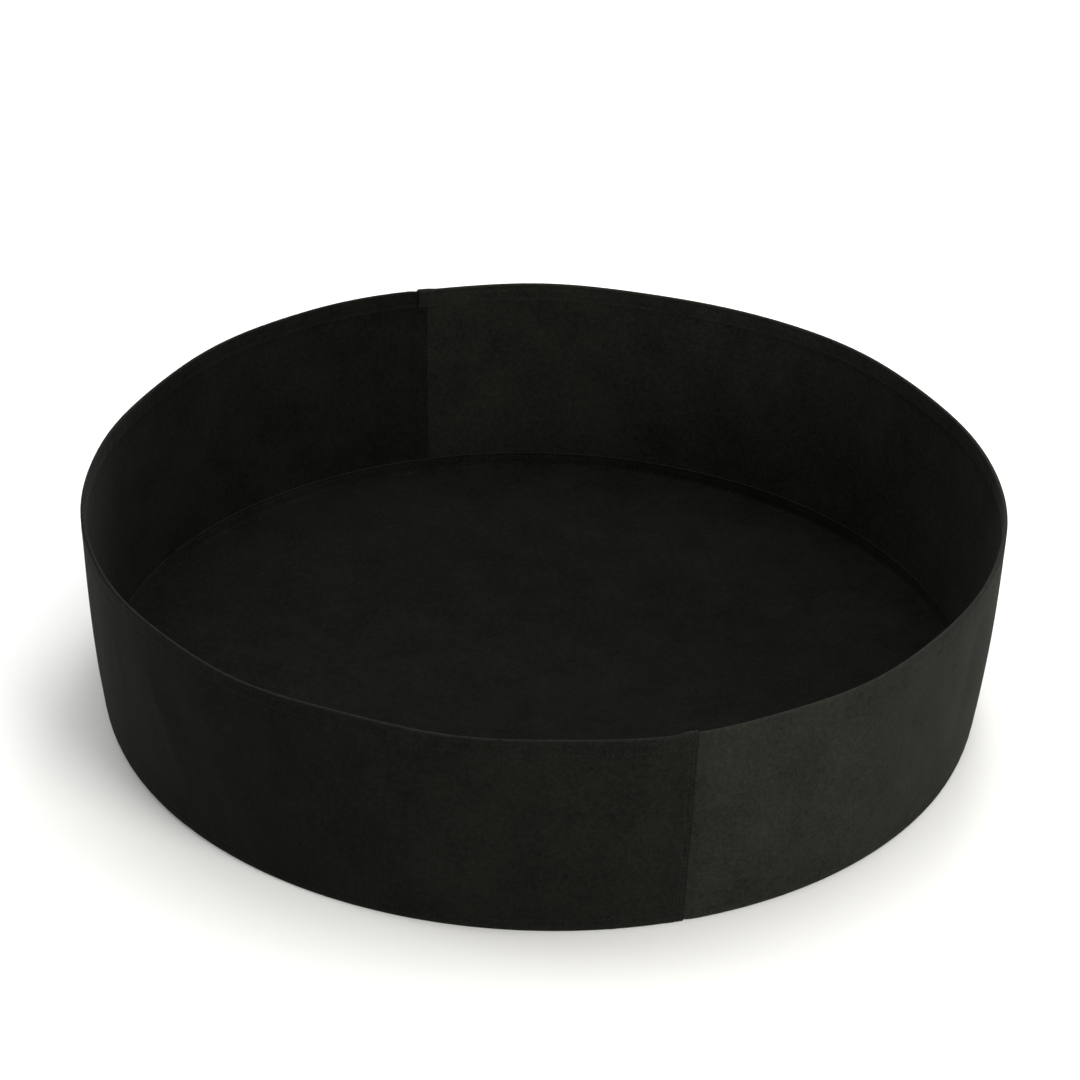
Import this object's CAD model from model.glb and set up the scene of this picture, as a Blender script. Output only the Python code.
"""A low round grow bag sewn from needle-punched felt.

Two wall panels, a floor panel and the threads that hold them together stand in the places of
their solids in the frame. Every piece is laid out on the plain, upright bag first, and then
goes through one shape, settled(), which gives the felt its bulge, waves and creases. So the
pieces stay together wherever the felt moves.
"""

import math

import bmesh
import bpy
import numpy as np
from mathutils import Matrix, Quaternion, Vector


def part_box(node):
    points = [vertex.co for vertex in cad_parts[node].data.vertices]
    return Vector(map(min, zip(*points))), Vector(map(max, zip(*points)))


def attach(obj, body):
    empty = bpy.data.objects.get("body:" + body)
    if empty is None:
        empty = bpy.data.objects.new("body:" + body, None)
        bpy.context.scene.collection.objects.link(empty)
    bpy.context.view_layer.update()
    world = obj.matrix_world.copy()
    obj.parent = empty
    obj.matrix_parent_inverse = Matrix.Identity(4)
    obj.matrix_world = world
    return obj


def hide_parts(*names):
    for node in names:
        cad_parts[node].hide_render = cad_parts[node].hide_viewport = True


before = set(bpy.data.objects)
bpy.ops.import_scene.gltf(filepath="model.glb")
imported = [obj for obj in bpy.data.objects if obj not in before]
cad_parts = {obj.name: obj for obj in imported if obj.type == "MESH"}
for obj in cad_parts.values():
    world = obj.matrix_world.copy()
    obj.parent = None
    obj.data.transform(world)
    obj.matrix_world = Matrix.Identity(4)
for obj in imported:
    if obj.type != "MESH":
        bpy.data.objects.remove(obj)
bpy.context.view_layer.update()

MM = 0.001
TURN = 2 * math.pi

# ------------------------------------------------------------------ sizes, from the frame


def middle(node):
    low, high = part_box(node)
    return (low + high) / 2


def angle_of(node):
    spot = middle(node)
    return math.atan2(spot.y, spot.x)


FLOOR_LOW, FLOOR_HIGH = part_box("floor_panel")
PANEL_LOW, PANEL_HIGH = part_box("wall_panel_left")
FELT_T = FLOOR_HIGH.z - FLOOR_LOW.z
TURN_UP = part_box("floor_panel_turned_edge")[1].z
WALL_TOP = PANEL_HIGH.z - FELT_T  # the lap stands one felt higher
FOLD_Z = WALL_TOP - FELT_T
HEM_UPPER_Z = middle("hem_upper_row_needle_thread").z
HEM_LOWER_Z = middle("hem_lower_row_needle_thread").z
FLOOR_LOWER_Z = middle("floor_lower_row_needle_thread").z
FLOOR_UPPER_Z = middle("floor_upper_row_needle_thread").z
HEM_Z = HEM_LOWER_Z - (TURN_UP - FLOOR_UPPER_Z)  # both cut edges are as far from their row
EDGE_ROW = angle_of("front_seam_edge_row_bobbin_thread")
INNER_ROW = angle_of("front_seam_inner_row_bobbin_thread")
# The front lap's cut edge is the left panel's point furthest to the right
SEAM = -math.acos(PANEL_HIGH.x / (FELT_T - PANEL_LOW.x))
LAP = (EDGE_ROW - INNER_ROW) + 2 * (SEAM - EDGE_ROW)

# The wall's inner face is a cone. Both of these threads lie one felt inside it.
FOOT_THREAD_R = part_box("floor_upper_row_bobbin_thread")[1].x
RIM_THREAD_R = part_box("hem_upper_row_bobbin_thread")[1].x
CONE = (RIM_THREAD_R - FOOT_THREAD_R) / (HEM_UPPER_Z - FLOOR_UPPER_Z)


def inner_r(z):
    """Radius of the wall's inner face, which is also the line that the hem folds about."""
    return FOOT_THREAD_R + FELT_T + CONE * (z - FLOOR_UPPER_Z)


FOOT_R = inner_r(0.0)
JOG = 15 * MM / FOOT_R  # the angle, 15 mm round the foot, in which soft felt rises to a lap
PRESSED = 0.5 * MM  # how much thinner the stitches press each felt of a lap

STITCHES = 2 * round(math.pi * FOOT_R / (7 * MM))  # 7 mm is a usual stitch for felt this thick
STITCH = TURN / STITCHES
GROOVE = 0.45 * MM  # how deep a row of stitches pulls the felt in
GROOVE_W = 1.5 * MM  # and how far from the row that dies away
THREAD_WIDE = 0.95 * MM  # a thread is pressed a little flat
THREAD_THICK = 0.65 * MM
THREAD_UP = 0.1 * MM  # the middle of a thread over the felt beside it
THREAD_SIDES = 6
PER_STITCH = 6  # points of a thread's line to each stitch
THREAD_DIP = 1.4 * MM  # how deep a thread goes into the felt at a needle hole
THREAD_SLANT = 0.2 * MM  # how far each stitch lies across its row
ROW_WANDER = 0.16 * MM  # how far a row strays from its line

EDGE_ROUND = 0.9 * MM  # radius of a cut edge
LAYER_GAP = 0.12 * MM  # keeps layers that touch from cutting into each other
NEAR_ROW = [d * MM for d in (0, 0.7, 1.5, 2.6)]  # mesh lines on each side of a row of stitches
NEAR_EDGE = [EDGE_ROUND * share for share in (0.12, 0.45, 1)]  # and beside a cut edge
WALL_PITCH = 7.5 * MM  # distance of the mesh lines up the wall elsewhere
SCUFFED = 5 * MM  # how far up the foot's wear fades

# ------------------------------------------------------------------ the felt's settled shape

rng = np.random.default_rng(12)


def ripple(orders, strength):
    """A smooth closed wave round the bag from cosines of these orders, with fixed phases."""
    orders = np.array(list(orders))
    size = rng.normal(0, strength, len(orders)) / math.sqrt(len(orders))
    phase = rng.uniform(0, TURN, len(orders))

    def wave(a):
        return sum(s * np.cos(k * np.asarray(a) + p) for k, s, p in zip(orders, size, phase))

    return wave


def step(x):
    """0 before 0, 1 after 1 and smooth between."""
    x = np.clip(x, 0, 1)
    return x * x * (3 - 2 * x)


def around(a, centre):
    """Angle from centre to a, the short way round."""
    return (np.asarray(a) - centre + math.pi) % TURN - math.pi


# Waves round the bag: how many of them go round it, and how strong they are
BULGE = ripple(range(3, 9), 1.6 * MM)  # wide bulges half way up the wall
SWELL = ripple(range(5, 14), 1.5 * MM)  # narrower ones, from the foot to the rim
BUCKLE = ripple(range(14, 34), 0.55 * MM)  # small upright buckles
PUCKER = ripple(range(90, 190), 0.22 * MM)  # what the stitches gather at the floor and the hem
RIM_PLAN = ripple(range(2, 7), 3.2 * MM)  # the rim out of round
RIM_WAVE = ripple(range(3, 15), 1.7 * MM)  # the rim up and down
SLANT = ripple(range(4, 12), 0.045)  # how far buckles and valleys lean over, in radians
FLOOR_SWELL = ripple(range(3, 12), 2.4 * MM)  # where the floor stands off the ground
FLOOR_GATHER = ripple(range(30, 75), 1.6 * MM)  # and its wrinkles near the wall

BELLY = 4.2 * MM  # how far the filled wall bows out half way up
FLOOR_PUCKER = 11 * MM  # how far from its seam a pucker dies away
HEM_PUCKER = 13 * MM
FOOT_TUCK = 2.2 * MM  # how far the foot turns in where it stands, and up to what height
FOOT_TUCK_H = 4 * MM
LAP_SINK = 0.45 * FELT_T  # how far a lap moves in, so that it stands out on both sides

# Soft valleys where the wall has given way a little, and ridges, which have a negative depth:
# angle at mid-height, depth and half width in millimetres, the heights in metres between which
# each one shows, and how far it leans, in radians to a metre of height
VALLEYS = [
    (-2.83, 0.6, 22, 0.05, 0.28, 0.1),
    (-2.66, -0.7, 15, 0.11, 0.26, -0.2),
    (-2.46, -0.9, 14, 0.05, 0.24, -0.7),
    (-2.36, 1.5, 30, 0.01, 0.27, -0.9),
    (-1.86, 0.5, 18, 0.00, 0.16, 0.3),
    (-1.44, 0.6, 26, 0.08, 0.30, -0.2),
    (-0.86, 0.7, 20, 0.02, 0.19, 0.5),
    (-0.42, 0.9, 26, 0.06, 0.29, 0.3),
    (0.31, 1.1, 24, 0.00, 0.22, -0.4),
    (0.98, 0.9, 20, 0.07, 0.30, 0.6),
    (1.49, 1.2, 28, 0.02, 0.21, -0.6),
    (2.20, 0.9, 20, 0.04, 0.28, 0.4),
    (2.75, 1.0, 24, 0.00, 0.20, -0.3),
]
VALLEY_END = 60 * MM  # the length in which a valley fades at each end


def settled(a, z):
    """How far the felt at angle a and height z on the plain bag moves outwards and up."""
    h = np.clip(z / WALL_TOP, 0, 1)
    belly = np.sin(math.pi * h**0.8)
    leaning = a + SLANT(a) * (h - 0.5)
    out = belly * (BELLY + BULGE(a)) + h**1.6 * RIM_PLAN(a)
    out = out + (0.25 + 0.75 * belly) * step(h / 0.25) * SWELL(leaning)
    out = out + belly * step(h / 0.3) * BUCKLE(leaning)
    for centre, depth, wide, low, high, lean in VALLEYS:
        line = centre + lean * (z - WALL_TOP / 2)
        near = around(leaning, line) * FOOT_R / (wide * MM)
        tall = step((z - low) / VALLEY_END) * step((high - z) / VALLEY_END)
        out = out - depth * MM * tall * np.exp(-(near**2)) * (0.35 + 0.65 * belly)
    # the foot turns in where it stands, and gathers a little at its seam and at the hem
    out = out - FOOT_TUCK * np.exp(-z / FOOT_TUCK_H)
    out = out + PUCKER(a) * np.exp(-(((z - FLOOR_UPPER_Z) / FLOOR_PUCKER) ** 2))
    out = out + PUCKER(a) * np.exp(-(((z - HEM_LOWER_Z) / HEM_PUCKER) ** 2))
    # a lap stands out half on the outside and half on the inside
    for seam in (SEAM, SEAM + math.pi):
        past = around(a, seam)
        out = out - LAP_SINK * step((past + LAP + JOG) / JOG) * step((JOG - past) / JOG)
    up = h**2.2 * RIM_WAVE(a)
    return out, up


def placed(a, z, off_r, off_z=0.0):
    """Points at angle a and height z, off_r outside the fold line, after the felt has settled."""
    out, up = settled(a, z)
    r = inner_r(z) + off_r + out
    return np.stack([r * np.cos(a), r * np.sin(a), z + off_z + up], axis=-1)


def lapped(past):
    """1 where a panel lies on the next one, before its cut edge, and 0 where it has come down."""
    return step((past + LAP + JOG) / JOG) * (past <= 1e-9)


def tucked(past):
    """1 where a panel lies under another one's edge, and 0 a little past the edge."""
    return step((JOG - past) / JOG)


def outer_face(a):
    """How far the felt's outer face stands outside the fold line, all round the bag."""
    face = np.full_like(np.asarray(a, float), FELT_T)
    for seam in (SEAM, SEAM + math.pi):
        past = around(a, seam)
        face = face + (FELT_T - 2 * PRESSED) * lapped(past)
        face = face - PRESSED * tucked(past) * (past > 1e-9)
    return face


def stitched(a, z):
    """How far the stitches pull the felt in, deepest at each needle hole."""
    holes = 0.6 + 0.4 * np.cos(math.pi * a / STITCH) ** 2
    pull = 0.0
    for row in (FLOOR_LOWER_Z, FLOOR_UPPER_Z, HEM_LOWER_Z, HEM_UPPER_Z):
        pull = pull + GROOVE * holes * np.exp(-(((z - row) / GROOVE_W) ** 2))
    for row in (EDGE_ROW, INNER_ROW, EDGE_ROW + math.pi, INNER_ROW + math.pi):
        pull = np.maximum(pull, GROOVE * np.exp(-((around(a, row) * FOOT_R / GROOVE_W) ** 2)))
    return pull


def rounded(distance):
    """How far a face drops this near to a cut edge, which the felt's fibres keep round."""
    inside = np.clip(1 - np.asarray(distance) / EDGE_ROUND, 0, 1)
    return EDGE_ROUND * (1 - np.sqrt(1 - inside**2))


# ------------------------------------------------------------------ meshes


def outwards(piece):
    """Turns every face of a closed piece outwards."""
    shape = bmesh.new()
    shape.from_mesh(piece.data)
    bmesh.ops.recalc_face_normals(shape, faces=shape.faces)
    shape.to_mesh(piece.data)
    shape.free()


def mesh_object(name, points, faces, uv, rubbed=None):
    """A finished piece from points in metres and faces, with a UV and a wear value per point."""
    mesh = bpy.data.meshes.new(name)
    mesh.from_pydata(points.tolist(), [], faces)
    layer = mesh.uv_layers.new(name="cloth")
    corner = np.zeros(len(mesh.loops), np.int32)
    mesh.loops.foreach_get("vertex_index", corner)
    layer.data.foreach_set("uv", np.asarray(uv, np.float32)[corner].ravel())
    if rubbed is not None:
        mark = mesh.attributes.new("rubbed", "FLOAT", "POINT")
        mark.data.foreach_set("value", np.asarray(rubbed, np.float32))
    mesh.shade_smooth()
    piece = bpy.data.objects.new(name, mesh)
    bpy.context.scene.collection.objects.link(piece)
    outwards(piece)
    return piece


def grid_faces(rows, columns, close_rows, close_columns):
    """Four-sided faces between the points of a grid, which may close on itself either way."""
    at = np.arange(rows * columns).reshape(rows, columns)
    if close_rows:
        at = np.vstack([at, at[:1]])
    if close_columns:
        at = np.hstack([at, at[:, :1]])
    corners = (at[:-1, :-1], at[:-1, 1:], at[1:, 1:], at[1:, :-1])
    return np.stack(corners, axis=-1).reshape(-1, 4).tolist()


def lines_between(low, high, rows, pitch, cut=()):
    """Places of the mesh lines from low to high. They are close together across rows of
    stitches and beside cut edges, and about pitch apart elsewhere."""
    fine = [low, high]
    for row in rows:
        fine += [row + side * d for d in NEAR_ROW for side in (-1, 1)]
    for edge in cut:
        fine += [edge + side * d for d in NEAR_EDGE for side in (-1, 1)]
    fine = sorted({round(x, 7) for x in fine if low <= x <= high})
    places = []
    for near, far in zip(fine, fine[1:]):
        count = max(1, round((far - near) / pitch))
        places += list(np.linspace(near, far, count, endpoint=False))
    return places + [high]


# ------------------------------------------------------------------ wall panels


def wall_columns(start, end):
    """Angles of the mesh lines of one wall panel, two to each stitch and more at the laps."""
    fine = [x + side * d / FOOT_R for x, side in ((start, 1), (end, -1)) for d in (0, *NEAR_EDGE)]
    for turn in (0, math.pi, -math.pi, -TURN):
        for row in (EDGE_ROW, INNER_ROW):
            fine += [row + turn + side * d / FOOT_R for d in NEAR_ROW for side in (-1, 1)]
        fine += [SEAM + turn + JOG * share for share in (0.25, 0.5, 0.75, 1)]
        fine += [SEAM + turn - LAP - JOG * share for share in (0, 0.25, 0.5, 0.75, 1)]
    fine = sorted({round(x, 7) for x in fine if start - 1e-7 <= x <= end + 1e-7})
    half = STITCH / 2
    plain = np.arange(math.ceil(start / half), math.floor(end / half) + 1) * half
    clear = [x for x in plain if min(abs(x - e) for e in fine) > 0.9 * MM / FOOT_R]
    return np.array(sorted(clear + fine))


def wall_panel(name, seam):
    """A wall panel of felt with its hem turned in. Its end at the angle seam laps over the
    next panel, and its other end lies under the last one."""
    start, end = seam - math.pi - LAP, seam
    a = wall_columns(start, end)
    rise = lapped(a - end)
    inner = (FELT_T - PRESSED) * rise
    outer = inner + FELT_T - PRESSED * (rise + tucked(a - start - LAP))
    soft_end = rounded((a - start) * FOOT_R) + rounded((end - a) * FOOT_R)
    lines, cloth, rubbed = [], [], []

    def add(z, turn, depth, worn=0.0):
        """One mesh line. The fold turns the felt from 0 on the outside to pi on the inside."""
        lines.append(placed(a, z, depth * math.cos(turn), depth * math.sin(turn)))
        along = z if turn == 0 else FOLD_Z + FELT_T * turn + (FOLD_Z - z)
        cloth.append(np.stack([a * FOOT_R, np.full_like(a, along)], axis=-1))
        rubbed.append(np.full_like(a, worn))

    rows = (FLOOR_LOWER_Z, FLOOR_UPPER_Z, HEM_LOWER_Z, HEM_UPPER_Z)
    for z in lines_between(0.0, FOLD_Z, rows, WALL_PITCH, cut=[0.0]):
        depth = outer - stitched(a, z) - np.maximum(rounded(z), soft_end)
        add(z, 0, depth, 0.5 * math.exp(-z / SCUFFED))
    turns = np.linspace(0, math.pi, 11)[1:-1]
    for turn in turns:
        add(FOLD_Z, turn, outer - soft_end, 0.2 + 0.8 * math.sin(turn) ** 4)
    for z in lines_between(HEM_Z, FOLD_Z, rows, WALL_PITCH, cut=[HEM_Z])[::-1]:
        depth = outer - stitched(a, z) - np.maximum(rounded(z - HEM_Z), soft_end)
        add(z, math.pi, depth, 0.5 * (z < HEM_Z + EDGE_ROUND))
    # between the two layers of the hem, and round the inside of its fold
    for z in (HEM_Z, HEM_Z + EDGE_ROUND, (HEM_Z + FOLD_Z) / 2, FOLD_Z):
        add(z, math.pi, inner + LAYER_GAP + np.maximum(rounded(z - HEM_Z), soft_end))
    for turn in turns[::-2]:
        add(FOLD_Z, turn, inner + LAYER_GAP + soft_end)
    for z in lines_between(0.0, FOLD_Z, [HEM_LOWER_Z], 8 * MM, cut=[0.0, HEM_Z, TURN_UP])[::-1]:
        open_felt = step((z - TURN_UP) / EDGE_ROUND) * step((HEM_Z - z) / EDGE_ROUND)
        depth = inner + LAYER_GAP + np.maximum(rounded(z), soft_end)
        add(z, 0, depth + stitched(a, z) * open_felt)

    points = np.stack(lines)
    rows, columns = points.shape[:2]
    faces = grid_faces(rows, columns, True, False)
    ends = np.arange(rows * columns).reshape(rows, columns)[:, [0, -1]]
    faces += ends.T.tolist()
    cloth, rubbed = np.concatenate(cloth), np.concatenate(rubbed)
    piece = mesh_object(name, points.reshape(-1, 3), faces, cloth, rubbed)
    for face in piece.data.polygons[-2:]:  # the two cut ends
        face.use_smooth = False
    return piece


# ------------------------------------------------------------------ floor panel

# Where the floor was folded in its packet: lines across and lines along it, in metres
FOLDS_X = [-0.43, -0.14, 0.16, 0.45]
FOLDS_Y = [-0.14, 0.16]
FOLD_H = 2.0 * MM  # height and half width of a crease that the packet left
FOLD_W = 8 * MM
HUMP = 1.4 * MM  # height of the soft humps in the middle of the floor
FLAT_RIM = 50 * MM  # the floor comes down to the ground this far inside the wall
BEND_FILLET = 0.8 * MM  # how much the felt thickens inside the bend up the wall
BEND_FILLET_W = 2.5 * MM
FLOOR_RINGS = 62  # mesh lines from the middle of the floor to its bend


def floor_rise(x, y):
    """Height of the floor panel over the ground: soft wrinkles, and creases from its packet."""
    r = np.hypot(x, y)
    a = np.arctan2(y, x)
    rise = np.zeros_like(r)
    for lines, over, along in ((FOLDS_X, x, y), (FOLDS_Y, y, x)):
        for k, line in enumerate(lines):
            bent = line + 18 * MM * np.sin(3.5 * along + k)  # a crease is never quite straight
            fade = 0.55 + 0.45 * np.sin(5 * along + 2.1 * k)
            rise += FOLD_H * fade * np.exp(-np.abs(over - bent) / FOLD_W)
    # the felt stands off the ground in places, but never goes under it
    swell = FLOOR_SWELL(a) * step(r / 0.35) + HUMP * np.sin(7 * x + 1) * np.sin(6 * y + 2)
    gather = FLOOR_GATHER(a) * step((r - FOOT_R + 0.13) / 0.1)
    rise += np.maximum(swell, 0) + np.maximum(gather, 0)
    return rise * step((FOOT_R - r) / FLAT_RIM)


def floor_panel():
    """The floor disc, with its edge turned up against the inside of the wall."""
    a = np.arange(STITCHES) * STITCH
    flat = np.stack([np.cos(a), np.sin(a)], axis=-1)
    under, over = [], []

    def ring(store, points, r, worn=0.0):
        """One mesh line right round. r is its radius on the flat cloth."""
        store.append((points, r * flat, np.full_like(a, worn)))

    bend = FOOT_R - FELT_T
    plain = np.linspace(20 * MM, bend - 12 * MM, FLOOR_RINGS)
    near_bend = bend - np.array([6, 2.5, 0]) * MM
    for r in np.concatenate([plain, near_bend]):
        # the floor follows the foot's outline close to the wall, and is round elsewhere
        shift = settled(a, 0.0)[0] * step((r - FOOT_R + 0.1) / 0.09)
        spot = (r + shift)[:, None] * flat
        rise = floor_rise(spot[:, 0], spot[:, 1])
        fillet = BEND_FILLET * math.exp(-(((r - bend) / BEND_FILLET_W) ** 2))
        ring(under, np.column_stack([spot, rise]), r)
        ring(over, np.column_stack([spot, rise + FELT_T + fillet]), r)
    for z in (0.6 * MM, 3 * MM, 6 * MM, 12 * MM, 18 * MM, TURN_UP - EDGE_ROUND, TURN_UP):
        inset = LAYER_GAP + rounded(TURN_UP - z) + rounded(z)
        ring(under, placed(a, z, -inset), FOOT_R + z)
    rows = (FLOOR_LOWER_Z, FLOOR_UPPER_Z)
    for z in lines_between(FELT_T + 2.2 * MM, TURN_UP, rows, 6 * MM, cut=[TURN_UP]):
        inset = FELT_T - stitched(a, z) - rounded(TURN_UP - z)
        ring(over, placed(a, z, -inset), FOOT_R + z, 0.5 * (z > TURN_UP - EDGE_ROUND))
    rings = under + over[::-1]
    points, cloth, rubbed = (np.concatenate([r[k] for r in rings]) for k in range(3))
    faces = grid_faces(len(rings), STITCHES, False, True)
    # a fan closes the middle of each face
    first, last = np.arange(STITCHES), np.arange(STITCHES) + (len(rings) - 1) * STITCHES
    middles = len(points), len(points) + 1
    for centre, edge in zip(middles, (first, last)):
        faces += np.stack([edge, np.roll(edge, -1), np.full_like(edge, centre)], axis=-1).tolist()
    low = floor_rise(np.zeros(1), np.zeros(1))[0]
    points = np.concatenate([points, [[0, 0, low], [0, 0, low + FELT_T]]])
    cloth = np.concatenate([cloth, np.zeros((2, 2))])
    return mesh_object("floor_felt", points, faces, cloth, np.append(rubbed, [0, 0]))


# ------------------------------------------------------------------ threads


def thread_tube(name, line, across, closed):
    """Thread along a line of points, as a tube with six sides that is wider than thick."""
    ahead = np.roll(line, -1, 0) - np.roll(line, 1, 0)
    if not closed:
        ahead[0], ahead[-1] = line[1] - line[0], line[-1] - line[-2]
    ahead /= np.linalg.norm(ahead, axis=1)[:, None]
    side = across - (across * ahead).sum(1)[:, None] * ahead
    side /= np.linalg.norm(side, axis=1)[:, None]
    off = np.cross(ahead, side)
    t = np.arange(THREAD_SIDES) * TURN / THREAD_SIDES
    ring = side[:, None] * (np.cos(t) * THREAD_WIDE / 2)[None, :, None]
    ring = ring + off[:, None] * (np.sin(t) * THREAD_THICK / 2)[None, :, None]
    points = (line[:, None] + ring).reshape(-1, 3)
    length = np.concatenate([[0], np.cumsum(np.linalg.norm(np.diff(line, axis=0), axis=1))])
    cloth = np.stack([np.repeat(length, THREAD_SIDES), np.tile(t / TURN, len(line))], axis=-1)
    faces = grid_faces(len(line), THREAD_SIDES, closed, True)
    if not closed:
        ends = np.arange(len(points)).reshape(-1, THREAD_SIDES)[[0, -1]]
        faces += ends.tolist()
    return mesh_object(name, points, faces, cloth)


def dip(phase):
    """How deep a thread runs at this share of a stitch: up on the felt, down at the hole."""
    return THREAD_DIP * np.abs(np.cos(math.pi * phase)) ** 7


def row_round(name, z, side, over_laps):
    """A thread right round the wall at height z, on its outside (1) or its inside (-1)."""
    count = STITCHES * PER_STITCH
    a = np.arange(count) * TURN / count
    phase = (np.arange(count) % PER_STITCH) / PER_STITCH
    face = np.full_like(a, FELT_T)
    if over_laps:  # past a cut edge the thread comes down to the other panel in half a stitch
        face = outer_face(a)
        for seam in (SEAM, SEAM + math.pi):
            past = around(a, seam) / (STITCH / 2)
            face = face + (FELT_T - PRESSED) * (1 - step(past)) * (past > 0)
    wander = ROW_WANDER * (np.sin(61 * a) + 0.6 * np.sin(173 * a + 1))
    slant = THREAD_SLANT * np.sin(TURN * phase)
    line = placed(a, z + wander + slant, side * (face + THREAD_UP - stitched(a, z) - dip(phase)))
    return thread_tube(name, line, np.broadcast_to([0.0, 0.0, 1.0], line.shape), True)


def row_up(angle, low, high, face, side):
    """Points and sideways directions of a thread from low to high, at one angle of a lap."""
    count = round(abs(high - low) / (STITCH * FOOT_R))
    z = np.linspace(low, high, count * PER_STITCH + 1)
    phase = (np.arange(len(z)) % PER_STITCH) / PER_STITCH
    a = angle + (ROW_WANDER * np.sin(90 * z) + THREAD_SLANT * np.sin(TURN * phase)) / FOOT_R
    line = placed(a, z, side * (face + THREAD_UP - stitched(a, z) - dip(phase)))
    return line, np.stack([-np.sin(a), np.cos(a), np.zeros_like(a)], axis=-1)


def seam_needle(name, angle):
    """The needle thread of a side seam: up the outside, over the fold and down the hem."""
    face = outer_face(np.array([angle]))[0]
    top = FOLD_Z - 1 * MM
    outside, across_out = row_up(angle, 1.5 * MM, top, face, 1)
    inside, across_in = row_up(angle, top, HEM_Z + 1 * MM, face, -1)
    depth = face + THREAD_UP
    turns = np.linspace(0, math.pi, 13)[1:-1]
    fold = np.stack([placed(angle, FOLD_Z, depth * math.cos(t), depth * math.sin(t)) for t in turns])
    across = np.concatenate([across_out, np.repeat(across_out[-1:], len(fold), 0), across_in])
    return thread_tube(name, np.concatenate([outside, fold, inside]), across, False)


def seam_bobbin(name, angle):
    """The bobbin thread of a side seam, on the inner face between the floor and the hem."""
    line, across = row_up(angle, TURN_UP - 4 * MM, HEM_Z + 4 * MM, 0.0, -1)
    return thread_tube(name, line, across, False)


# ------------------------------------------------------------------ materials


def linear(code):
    """Linear colour from an sRGB hex value."""
    parts = [int(code[i : i + 2], 16) / 255 for i in (1, 3, 5)]
    return [x / 12.92 if x <= 0.04045 else ((x + 0.055) / 1.055) ** 2.4 for x in parts] + [1.0]


def new_material(name):
    made = bpy.data.materials.new(name)
    made.use_nodes = True
    made.node_tree.nodes.clear()
    return made, made.node_tree


def node(tree, kind, links=None, inputs=None, **settings):
    """Adds a node with its settings and the values of its inputs, and links outputs into it."""
    made = tree.nodes.new(kind)
    for key, value in settings.items():
        setattr(made, key, value)
    for key, value in (inputs or {}).items():
        made.inputs[key].default_value = value
    for key, output in (links or {}).items():
        tree.links.new(output, made.inputs[key])
    return made


def felt(name, dark, light, rubbed):
    """Needle-punched polyester felt, dyed black: a matt mat of crossing fibres with a soft
    nap that lightens at grazing angles, cloudy where the batt was thicker, and dimpled by
    the needles. It is greyer where it is folded or cut."""
    made, tree = new_material(name)
    cloth = node(tree, "ShaderNodeUVMap", uv_map="cloth").outputs["UV"]
    body = node(tree, "ShaderNodeTexCoord").outputs["Object"]

    def noise(vector, scale, detail=3.0):
        return node(tree, "ShaderNodeTexNoise", {"Vector": vector},
                    {"Scale": scale, "Detail": detail, "Roughness": 0.6}).outputs["Fac"]

    def share_of(value, low, high, most):
        return node(tree, "ShaderNodeMapRange", {"Value": value},
                    {"From Min": low, "From Max": high, "To Max": most}).outputs[0]

    def maths(operation, *values, clamp=False):
        made = node(tree, "ShaderNodeMath", operation=operation, use_clamp=clamp)
        for socket, value in zip(made.inputs, values):
            if isinstance(value, float):
                socket.default_value = value
            else:
                tree.links.new(value, socket)
        return made.outputs[0]

    # Fibres lie every way in the cloth. One is 0.02 mm thick, which is too fine to show, so
    # tufts of them 1.2 mm wide and 8 mm long are drawn instead.
    tufts = 0.0
    for turn in (0.2, 1.3, 2.3):
        laid = node(tree, "ShaderNodeMapping", {"Vector": cloth},
                    {"Rotation": (0, 0, turn), "Scale": (8 * MM, 1.2 * MM, 1)}, vector_type="TEXTURE")
        tufts = maths("MAXIMUM", noise(laid.outputs[0], 1.0), tufts)
    clouds = noise(body, 14.0, 4.0)  # 70 mm, from an uneven batt
    mottle = noise(body, 160.0)  # 6 mm, where the nap lies one way or another
    specks = noise(body, 900.0, 1.0)  # 1 mm tips of pale fibre
    share = maths("ADD", share_of(clouds, 0.3, 0.7, 0.24), share_of(mottle, 0.35, 0.75, 0.3))
    share = maths("MULTIPLY_ADD", share_of(tufts, 0.55, 0.8, 1.0), 0.6, share)
    share = maths("ADD", share, share_of(specks, 0.6, 0.72, 0.7), clamp=True)
    colour = node(tree, "ShaderNodeMix", {"Factor": share}, data_type="RGBA")
    colour.inputs["A"].default_value = linear(dark)
    colour.inputs["B"].default_value = linear(light)
    wear = node(tree, "ShaderNodeAttribute", attribute_name="rubbed").outputs["Fac"]
    worn = {"Factor": maths("MULTIPLY", wear, mottle), "A": colour.outputs["Result"]}
    tint = node(tree, "ShaderNodeMix", worn, data_type="RGBA")
    tint.inputs["B"].default_value = linear(rubbed)
    # needle dimples 2.5 mm apart under the nap
    dimples = node(tree, "ShaderNodeTexVoronoi", {"Vector": cloth}, {"Scale": 400.0})
    height = maths("MULTIPLY_ADD", dimples.outputs["Distance"], 0.8, tufts)
    height = maths("MULTIPLY_ADD", mottle, 1.2, height)
    bump = node(tree, "ShaderNodeBump", {"Height": height}, {"Strength": 0.55, "Distance": 0.6 * MM})
    surface = node(tree, "ShaderNodeBsdfPrincipled",
                   {"Base Color": tint.outputs["Result"], "Normal": bump.outputs["Normal"]},
                   {"Roughness": 0.95, "IOR": 1.45, "Specular IOR Level": 0.06, "Sheen Weight": 0.04,
                    "Sheen Roughness": 0.3, "Sheen Tint": linear("#d8d6cc")})
    node(tree, "ShaderNodeOutputMaterial", {"Surface": surface.outputs[0]})
    return made


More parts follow.
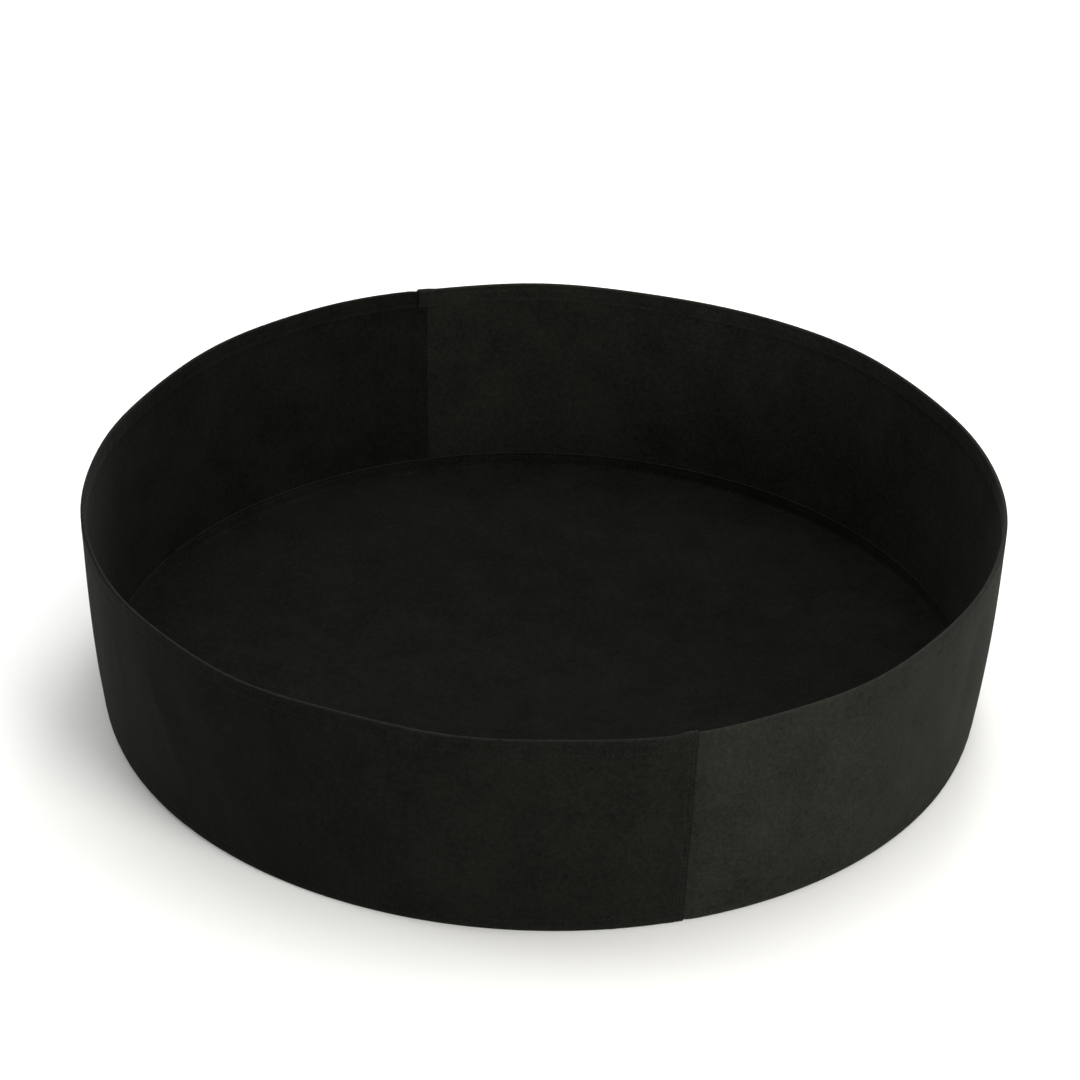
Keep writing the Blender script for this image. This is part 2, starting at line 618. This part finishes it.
def thread_material():
    """Bonded polyester sewing thread, black: smoother and a little glossier than the felt,
    with the slanting shine of its three twisted plies."""
    made, tree = new_material("bonded_polyester_thread")
    cloth = node(tree, "ShaderNodeUVMap", uv_map="cloth").outputs["UV"]
    parts = node(tree, "ShaderNodeSeparateXYZ", {"Vector": cloth})
    # the plies turn once in 2.4 mm, so each one shows three times in that length
    turn = node(tree, "ShaderNodeMath", {0: parts.outputs["X"], 2: parts.outputs["Y"]},
                {1: 1 / (2.4 * MM)}, operation="MULTIPLY_ADD")
    wave = node(tree, "ShaderNodeMath", {0: turn.outputs[0]}, {1: 3 * TURN}, operation="MULTIPLY")
    plies = node(tree, "ShaderNodeMath", {0: wave.outputs[0]}, operation="SINE")
    share = node(tree, "ShaderNodeMapRange", {"Value": plies.outputs[0]}, {"From Min": -1.0})
    colour = node(tree, "ShaderNodeMix", {"Factor": share.outputs[0]}, data_type="RGBA")
    colour.inputs["A"].default_value = linear("#060607")
    colour.inputs["B"].default_value = linear("#0e0e0f")
    bump = node(tree, "ShaderNodeBump", {"Height": share.outputs[0]},
                {"Strength": 0.6, "Distance": 0.2 * MM})
    surface = node(tree, "ShaderNodeBsdfPrincipled",
                   {"Base Color": colour.outputs["Result"], "Normal": bump.outputs["Normal"]},
                   {"Roughness": 0.65, "IOR": 1.5, "Specular IOR Level": 0.1, "Sheen Weight": 0.02,
                    "Sheen Roughness": 0.5})
    node(tree, "ShaderNodeOutputMaterial", {"Surface": surface.outputs[0]})
    return made


def floor_material():
    made = bpy.data.materials.new("pale_studio_floor")
    made.use_nodes = True
    surface = made.node_tree.nodes["Principled BSDF"]
    surface.inputs["Base Color"].default_value = linear("#f2f2f0")
    surface.inputs["Roughness"].default_value = 0.9
    return made


# ------------------------------------------------------------------ the bag

WALL_FELT_LEFT = felt("needled_polyester_felt_left", "#050504", "#1a1b17", "#242420")
WALL_FELT_RIGHT = felt("needled_polyester_felt_right", "#0b0b0a", "#262722", "#2b2b27")
FLOOR_FELT = felt("needled_polyester_felt_floor", "#070706", "#1e1f1b", "#262621")
THREAD = thread_material()


def finish_piece(piece, material, slot_name, *nodes):
    """Gives a piece its material, and its place and nodes in the frame."""
    piece.data.materials.append(material)
    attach(piece, "root")
    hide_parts(*nodes)
    return piece


left = wall_panel("left_wall_felt", SEAM)
finish_piece(left, WALL_FELT_LEFT, "wall_felt", "wall_panel_left")
right = wall_panel("right_wall_felt", SEAM + math.pi)
finish_piece(right, WALL_FELT_RIGHT, "wall_felt", "wall_panel_right")
floor = floor_panel()
finish_piece(floor, FLOOR_FELT, "floor_felt", "floor_panel", "floor_panel_turned_edge")

ROUND_ROWS = [
    ("hem_upper_row", HEM_UPPER_Z, True),
    ("hem_lower_row", HEM_LOWER_Z, True),
    ("floor_lower_row", FLOOR_LOWER_Z, False),
    ("floor_upper_row", FLOOR_UPPER_Z, False),
]
for row, z, lapped_inside in ROUND_ROWS:
    for thread, side in (("needle", 1), ("bobbin", -1)):
        piece = row_round(f"{row}_{thread}_stitches", z, side, side > 0 or lapped_inside)
        finish_piece(piece, THREAD, "thread", f"{row}_{thread}_thread")
for place, turn in (("front", 0.0), ("back", math.pi)):
    for row, angle in (("edge_row", EDGE_ROW), ("inner_row", INNER_ROW)):
        name = f"{place}_seam_{row}"
        piece = seam_needle(f"{name}_needle_stitches", angle + turn)
        finish_piece(piece, THREAD, "thread", f"{name}_needle_thread")
        piece = seam_bobbin(f"{name}_bobbin_stitches", angle + turn)
        finish_piece(piece, THREAD, "thread", f"{name}_bobbin_thread")

# ------------------------------------------------------------------ studio

bpy.ops.object.select_all(action="DESELECT")
bpy.ops.mesh.primitive_plane_add(size=40, location=(0, 0, -0.0005))
ground = bpy.context.object
ground.name = "ground"
ground.data.materials.append(floor_material())


def soft_light(name, spot, aim, size, power, colour):
    """A round softbox at spot, turned to aim. Its power is in watts."""
    lamp = bpy.data.lights.new(name, "AREA")
    lamp.shape = "DISK"
    lamp.size = size
    lamp.energy = power
    lamp.color = linear(colour)[:3]
    holder = bpy.data.objects.new(name, lamp)
    bpy.context.scene.collection.objects.link(holder)
    holder.location = spot
    look_at(holder, aim)


def look_at(holder, aim, roll=0.0):
    """Turns a light or a camera to aim, and rolls it about its own line of sight."""
    way = Vector(aim) - Vector(holder.location)
    turned = way.to_track_quat("-Z", "Y")
    holder.rotation_mode = "QUATERNION"
    holder.rotation_quaternion = turned @ Quaternion((0, 0, 1), roll)


soft_light("overhead_softbox", (0.2, 0.6, 4.2), (0, 0.2, 0), 5.0, 190, "#ffffff")
soft_light("right_softbox", (2.34, -2.99, 1.2), (0, 0, 0.15), 2.0, 190, "#fffdf8")
soft_light("left_softbox", (-3.74, 0.66, 1.2), (0, 0, 0.15), 2.0, 72, "#fdfeff")
soft_light("back_softbox", (0.7, 3.7, 1.5), (0, 0, 0.15), 2.0, 110, "#ffffff")

world = bpy.data.worlds.new("studio")
bpy.context.scene.world = world
world.use_nodes = True
world.node_tree.nodes["Background"].inputs["Color"].default_value = linear("#fafafa")
world.node_tree.nodes["Background"].inputs["Strength"].default_value = 0.15
bpy.context.scene.view_settings.view_transform = "Standard"

# The camera looks down at 30 degrees from 5.3 m, with a long lens
TILT = math.radians(29.6)
REACH = 5.27
lens = bpy.data.cameras.new("camera")
lens.lens = 127.3
lens.sensor_width = 36
camera = bpy.data.objects.new("camera", lens)
bpy.context.scene.collection.objects.link(camera)
camera.location = (0, -REACH * math.cos(TILT), WALL_TOP + REACH * math.sin(TILT))
look_at(camera, (-0.0045, -0.036, 0.245), math.radians(1.6))
bpy.context.scene.camera = camera
